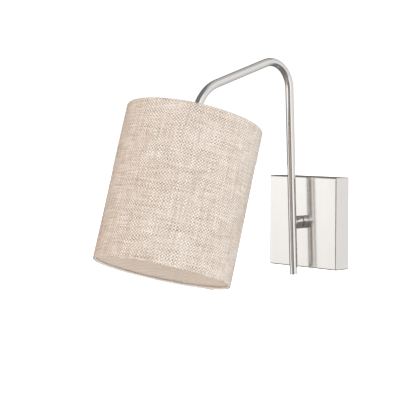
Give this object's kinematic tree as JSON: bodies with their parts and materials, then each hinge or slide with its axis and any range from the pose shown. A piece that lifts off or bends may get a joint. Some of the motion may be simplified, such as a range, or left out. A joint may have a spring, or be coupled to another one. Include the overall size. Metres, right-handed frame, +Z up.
{
  "type": "wall lamp",
  "caption": "Wall lamp: square metal wall plate, bent tube arm on a friction pivot, and a tilted linen drum shade over a screw-in bulb.",
  "frame": {"origin": "centre of the square face that lies on the wall, on the pivot's axis", "axes": "+X right for someone facing the wall, +Y into the wall along the pivot's axis, +Z up; the arm and shade reach towards -Y"},
  "size_m": [0.1851, 0.3697, 0.3049],
  "materials": {
    "plate_nickel": "satin nickel plate on steel, brushed upright",
    "tube_nickel": "satin nickel plate on a drawn tube",
    "knuckle_nickel": "satin nickel plate, turned",
    "fitting_nickel": "nickel plate, turned",
    "screw_nickel": "nickel plate",
    "zinc_steel": "bright zinc plate",
    "spring_steel": "blued spring steel",
    "brass": "rolled brass",
    "green_screw": "green-dyed zinc plate",
    "black_lead": "extruded insulation",
    "white_lead": "extruded insulation",
    "green_lead": "extruded insulation",
    "cable_jacket": "extruded jacket",
    "connector_plastic": "moulded",
    "nylon": "moulded",
    "socket_plastic": "moulded, satin",
    "frame_wire": "drawn wire, white lacquer",
    "shade_liner": "translucent sheet",
    "linen": "coarse plain weave, oatmeal flecked with brown",
    "hem_linen": "turned-in edge of the linen",
    "bulb_insulator": "black vitreous insulator",
    "bulb_cap": "rolled thread, nickel plated",
    "bulb_plastic": "moulded",
    "bulb_dome": "frosted diffuser"
  },
  "bodies": {
    "wall_plate": {"plate_cover": "plate_nickel", "backing_plate": "zinc_steel", "stop_pin": "zinc_steel", "pivot_base": "knuckle_nickel", "mounting_strap": "zinc_steel", "cover_screws": "screw_nickel", "earth_lug": "brass", "ground_screw": "green_screw", "live_lead": "black_lead", "neutral_lead": "white_lead", "earth_lead": "green_lead", "wire_connectors": "connector_plastic"},
    "arm": {"arm_tube": "tube_nickel", "tube_plug": "tube_nickel", "knuckle_collar": "knuckle_nickel", "friction_washer": "nylon", "pivot_nipple": "zinc_steel", "wave_washer": "spring_steel", "stop_washer": "zinc_steel", "pivot_locknut": "zinc_steel", "nipple_bush": "nylon", "lamp_cable": "cable_jacket", "end_nipple": "fitting_nickel", "socket_cap": "socket_plastic", "cap_locknut": "zinc_steel", "socket_body": "socket_plastic", "screw_shell": "brass", "centre_contact": "brass", "terminal_plates": "brass", "terminal_screws": "brass", "socket_leads": "black_lead", "shade_ring": "socket_plastic", "shade_spider": "frame_wire", "top_ring": "frame_wire", "bottom_ring": "frame_wire", "shade_liner": "shade_liner", "shade_linen": "linen", "hem_bands": "hem_linen", "bulb_contact": "brass", "bulb_insulator": "bulb_insulator", "bulb_cap": "bulb_cap", "bulb_housing": "bulb_plastic", "bulb_dome": "bulb_dome"}
  },
  "joints": [
    {"name": "arm_swivel", "type": "hinge", "parent": "wall_plate", "child": "arm", "pos_m": [0, -0.0447, 0], "axis": [0, 1, 0], "range_deg": [-87.8, 92.2]}
  ]
}
